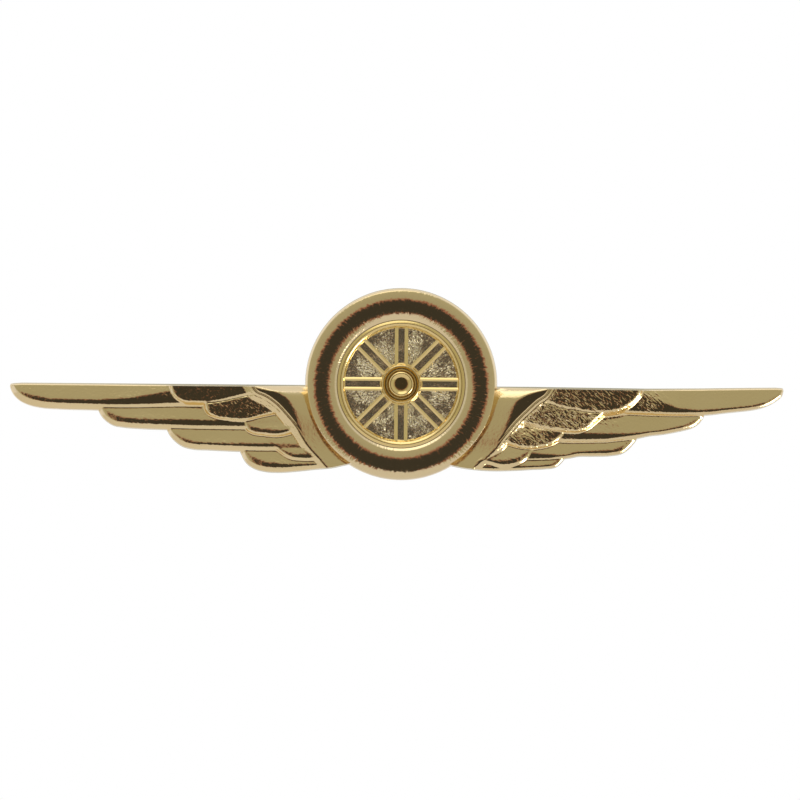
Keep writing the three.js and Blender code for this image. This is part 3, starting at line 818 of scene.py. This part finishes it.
CATCH_LOW = 13.4
CATCH_HIGH = 16.2
CATCH_X = (CATCH_LOW + CATCH_HIGH) / 2
SHELL_RADIUS = 2.1
SHELL_BORE = 1.6
SHELL_FOOT_TOP = 2.35
SHELL_FOOT_HALF = 1.5
MOUTH_HALF = 0.66
shell = tool_cylinder(SHELL_RADIUS, CATCH_HIGH - CATCH_LOW, (CATCH_X, AXIS_Y, BAR_Z), "X", 64)
shell.name = "catch_housing_shell"
shell_foot = tool_box((CATCH_LOW, BAR_FACE - 0.02, BAR_Z - SHELL_FOOT_HALF),
                      (CATCH_HIGH, SHELL_FOOT_TOP, BAR_Z + SHELL_FOOT_HALF))
combine(shell, shell_foot, "UNION")
combine(shell, tool_cylinder(SHELL_BORE, 6, (CATCH_X, AXIS_Y, BAR_Z), "X", 64), "DIFFERENCE")
mouth = tool_box((CATCH_LOW - 1, AXIS_Y, BAR_Z - MOUTH_HALF), (CATCH_HIGH + 1, 8, BAR_Z + MOUTH_HALF))
combine(shell, mouth, "DIFFERENCE")
soften(shell, 0.07)
settle(shell)
shell.data.materials.append(satin_gold)
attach(shell, "badge")
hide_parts("catch_housing")


# ---------------------------------------------------------------- catch rotor
# A slotted brass barrel, gold plated and polished. It turns in the housing, held by a flange at each end,
# and a thumb tab on one flange turns it.

END_GAP = 0.04
FLANGE = 0.4
FLANGE_RADIUS = 1.9
BARREL_RADIUS = 1.54
SLOT_HALF = 0.56
TAB_START = 0.9
TAB_END = 2.75
TAB_HALF = 0.45
TAB_LEAN = -52
rotor_low = CATCH_LOW - END_GAP
rotor_high = CATCH_HIGH + END_GAP
barrel_length = rotor_high - rotor_low + FLANGE
rotor = tool_cylinder(BARREL_RADIUS, barrel_length, (CATCH_X, AXIS_Y, BAR_Z), "X", 64)
rotor.name = "catch_rotor_barrel"
for centre in (rotor_low - FLANGE / 2, rotor_high + FLANGE / 2):
    combine(rotor, tool_cylinder(FLANGE_RADIUS, FLANGE, (centre, AXIS_Y, BAR_Z), "X", 64), "UNION")
tab = tool_box((rotor_high, TAB_START, -TAB_HALF), (rotor_high + FLANGE, TAB_END, TAB_HALF))
lean_over = Matrix.Rotation(math.radians(TAB_LEAN), 4, "X")
tab.data.transform(Matrix.Translation((0, AXIS_Y, BAR_Z)) @ lean_over)
combine(rotor, tab, "UNION")
combine(rotor, tool_cylinder(SLOT_HALF, 8, (CATCH_X, AXIS_Y, BAR_Z), "X"), "DIFFERENCE")
slot_box = tool_box((rotor_low - 1, AXIS_Y, BAR_Z - SLOT_HALF), (rotor_high + 1, 8, BAR_Z + SLOT_HALF))
combine(rotor, slot_box, "DIFFERENCE")
soften(rotor, 0.06)
settle(rotor)
rotor.data.materials.append(polished_gold)
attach(rotor, "catch")
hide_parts("catch_rotor")


# ---------------------------------------------------------------- studio
# A pale floor well below the badge and a soft white room, darker straight ahead where the camera stands.
# The sizes here are in metres.

FLOOR_DISC = 0.45
FLOOR_DROP = 0.22
bpy.ops.mesh.primitive_circle_add(vertices=96, radius=FLOOR_DISC, fill_type="NGON",
                                  location=(0, 0, -FLOOR_DROP))
floor = bpy.context.object
floor.name = "floor"
pale = new_material("pale matt floor")
floor_shader = add_node(pale.node_tree, "ShaderNodeBsdfDiffuse", {"Color": tone("#E4E2DF")})
add_node(pale.node_tree, "ShaderNodeOutputMaterial", {"Surface": (floor_shader, "BSDF")})
floor.data.materials.append(pale)

world = bpy.data.worlds.new("white studio")
bpy.context.scene.world = world
world.use_nodes = True
room = world.node_tree
room.nodes.clear()
place = add_node(room, "ShaderNodeTexCoord")
ahead = add_node(room, "ShaderNodeVectorMath", {0: (place, "Generated")}, operation="DOT_PRODUCT")
ahead.inputs[1].default_value = Vector((0, 1, 0.098)).normalized()
# 0 straight towards the camera, 0.5 square to the sides, 1 straight behind the badge
facing = add_node(room, "ShaderNodeMapRange", {"Value": (ahead, "Value"), "From Min": -1.0, "From Max": 1.0})
walls = add_node(room, "ShaderNodeValToRGB", {"Fac": (facing, "Result")})
stops = [(0.0, "#3E3C3A"), (0.027, "#3E3C3A"), (0.032, "#9C6A60"), (0.038, "#9C6A60"), (0.05, "#AAAA9E"),
         (0.22, "#B8B8AA"), (0.46, "#E2E6FF"), (0.96, "#F4F6FF"), (0.985, "#C8C8BC"), (1.0, "#A8A89A")]
ramp_stops = walls.color_ramp.elements
while len(ramp_stops) < len(stops):
    ramp_stops.new(0.5)
for element, (position, code) in zip(ramp_stops, stops):
    element.position = position
    element.color = tone(code)
# A soft box overhead.
towards = add_node(room, "ShaderNodeVectorMath", {0: (place, "Generated")}, operation="DOT_PRODUCT")
towards.inputs[1].default_value = Vector((-0.15, -0.35, 0.93)).normalized()
overhead = add_node(room, "ShaderNodeMapRange", {
    "Value": (towards, "Value"), "From Min": 0.86, "From Max": 0.95, "To Max": 0.8})
lit = add_node(room, "ShaderNodeVectorMath", {0: (walls, "Color"), 1: (overhead, "Result")}, operation="ADD")
path = add_node(room, "ShaderNodeLightPath")
seen = add_node(room, "ShaderNodeBackground", {"Color": tone("#FFFFFF")})
felt = add_node(room, "ShaderNodeBackground", {"Color": (lit, "Vector")})
both = add_node(room, "ShaderNodeMixShader", {
    "Fac": (path, "Is Camera Ray"), 1: (felt, "Background"), 2: (seen, "Background")})
add_node(room, "ShaderNodeOutputWorld", {"Surface": (both, "Shader")})

bpy.context.scene.view_settings.view_transform = "Standard"

# A small soft box low on the right, which the badge's right-hand bevels catch as white strokes.
box_data = bpy.data.lights.new("low soft box", "AREA")
box_data.shape = "SQUARE"
box_data.size = 0.08
box_data.energy = 0.15
soft_box = bpy.data.objects.new("low soft box", box_data)
bpy.context.collection.objects.link(soft_box)
soft_box.location = Vector((0.13, -0.018, -0.094))
soft_box.rotation_euler = soft_box.location.to_track_quat("Z", "Y").to_euler()

camera_data = bpy.data.cameras.new("camera")
camera_data.lens = 200
camera = bpy.data.objects.new("camera", camera_data)
bpy.context.collection.objects.link(camera)
roll = math.radians(0.48)
place_camera = Matrix.Translation((-0.1 * MM, -434 * MM, -1.55 * MM))
camera.matrix_world = place_camera @ Matrix.Rotation(math.pi / 2, 4, "X") @ Matrix.Rotation(roll, 4, "Z")
bpy.context.scene.camera = camera
